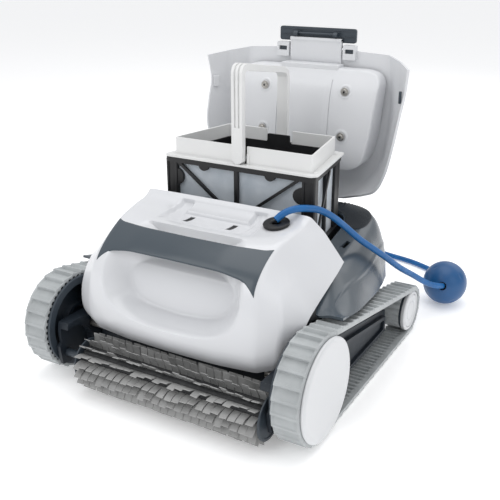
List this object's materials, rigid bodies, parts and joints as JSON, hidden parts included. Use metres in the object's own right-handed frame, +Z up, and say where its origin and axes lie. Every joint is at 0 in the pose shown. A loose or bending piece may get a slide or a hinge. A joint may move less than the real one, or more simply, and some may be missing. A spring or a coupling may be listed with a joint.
{
  "type": "pool cleaner",
  "caption": "Tracked swimming-pool cleaning robot with its lid raised, filter basket lifted, roller brush, and floating cable coiled behind.",
  "frame": {"origin": "on the floor under the middle of the robot's own box, cord pieces left out", "axes": "+Z up, front and brush towards -Y, +X to the robot's right as seen from the front"},
  "size_m": [0.405, 0.6348, 0.3845],
  "materials": {
    "hood_white": "gloss",
    "wheel_white": "satin",
    "slate_gloss": "gloss",
    "slate_matte": "satin",
    "navy_plastic": "satin",
    "black_plastic": "satin",
    "ivory_plastic": "satin",
    "track_rubber": "matte",
    "brush_pvc": "matte",
    "filter_mesh": "fine mesh",
    "cable_blue": "satin",
    "float_blue": "satin",
    "steel": "brushed"
  },
  "bodies": {
    "chassis": {"base_tub": "navy_plastic", "front_hood": "hood_white", "carry_handle": "slate_gloss", "side_frame_left": "navy_plastic", "side_panel_left": "navy_plastic", "track_belt_left": "track_rubber", "rear_axle_left": "steel", "brush_bush_left": "ivory_plastic", "side_frame_right": "navy_plastic", "side_panel_right": "navy_plastic", "track_belt_right": "track_rubber", "rear_axle_right": "steel", "brush_bush_right": "ivory_plastic", "drive_motor_housing": "black_plastic", "pump_motor": "black_plastic", "impeller_duct": "navy_plastic", "rear_cover": "slate_gloss", "hinge_bracket": "navy_plastic", "hinge_pin": "steel", "cable_gland": "black_plastic", "cable_lead": "cable_blue", "cable_float": "float_blue", "cable_coil": "cable_blue", "coil_tie": "black_plastic", "cable_connector": "black_plastic"},
    "front_wheel_left": {"front_wheel_left": "navy_plastic", "wheel_flange_left": "slate_matte", "wheel_cap_left": "wheel_white", "drive_shaft_left": "steel"},
    "rear_wheel_left": {"rear_wheel_left": "track_rubber", "rear_cap_left": "wheel_white"},
    "front_wheel_right": {"front_wheel_right": "navy_plastic", "wheel_flange_right": "slate_matte", "wheel_cap_right": "wheel_white", "drive_shaft_right": "steel"},
    "rear_wheel_right": {"rear_wheel_right": "track_rubber", "rear_cap_right": "wheel_white"},
    "brush": {"brush_sleeve": "brush_pvc", "brush_core": "navy_plastic", "brush_end_left": "slate_matte", "brush_end_right": "slate_matte"},
    "impeller": {"impeller": "ivory_plastic"},
    "lid": {"lid_shell": "hood_white", "lid_liner": "hood_white", "liner_screw_1": "steel", "liner_screw_2": "steel", "liner_screw_3": "steel", "liner_screw_4": "steel", "latch_pin": "steel"},
    "latch": {"latch_flap": "slate_gloss"},
    "basket": {"basket_collar": "ivory_plastic", "basket_frame": "black_plastic", "mesh_front": "filter_mesh", "mesh_back": "filter_mesh", "mesh_left": "filter_mesh", "mesh_right": "filter_mesh", "basket_floor": "black_plastic", "flap_pin": "steel"},
    "handle": {"basket_handle": "ivory_plastic"},
    "flap": {"inlet_flap": "black_plastic"}
  },
  "joints": [
    {"name": "lid_hinge", "type": "hinge", "parent": "chassis", "child": "lid", "pos_m": [0, 0.158, 0.147], "axis": [-1, 0, 0], "range_deg": [-20, 0]},
    {"name": "latch_tilt", "type": "hinge", "parent": "lid", "child": "latch", "pos_m": [0, 0.2053, 0.361], "axis": [-1, 0, 0], "range_deg": [0, 35], "stiffness_Nm_per_rad": 0.2},
    {"name": "basket_lift", "type": "slide", "parent": "chassis", "child": "basket", "axis": [0, 0, 1], "range_m": [-0.12, 0.02]},
    {"name": "handle_fold", "type": "hinge", "parent": "basket", "child": "handle", "pos_m": [0, 0.052, 0.252], "axis": [0, 1, 0], "range_deg": [-90, 90]},
    {"name": "inlet_flap_swing", "type": "hinge", "parent": "basket", "child": "flap", "pos_m": [0, 0.084, 0.148], "axis": [-1, 0, 0], "range_deg": [0, 60]},
    {"name": "left_track_drive", "type": "hinge", "parent": "chassis", "child": "front_wheel_left", "pos_m": [0, -0.1365, 0.061], "axis": [1, 0, 0], "continuous": true},
    {"name": "left_rear_wheel_spin", "type": "hinge", "parent": "chassis", "child": "rear_wheel_left", "pos_m": [0, 0.141, 0.034], "axis": [1, 0, 0], "continuous": true},
    {"name": "right_track_drive", "type": "hinge", "parent": "chassis", "child": "front_wheel_right", "pos_m": [0, -0.1365, 0.061], "axis": [1, 0, 0], "continuous": true},
    {"name": "right_rear_wheel_spin", "type": "hinge", "parent": "chassis", "child": "rear_wheel_right", "pos_m": [0, 0.141, 0.034], "axis": [1, 0, 0], "continuous": true},
    {"name": "brush_spin", "type": "hinge", "parent": "chassis", "child": "brush", "pos_m": [0.0155, -0.1715, 0.034], "axis": [1, 0, 0], "continuous": true},
    {"name": "impeller_spin", "type": "hinge", "parent": "chassis", "child": "impeller", "pos_m": [0, 0.146, 0.11], "axis": [0, 0, 1], "continuous": true}
  ],
  "couplings": [
    {"joint": "left_rear_wheel_spin", "follows": "left_track_drive", "ratio": 1.989},
    {"joint": "right_rear_wheel_spin", "follows": "right_track_drive", "ratio": 1.989},
    {"joint": "brush_spin", "follows": "right_track_drive", "ratio": 1.8}
  ]
}
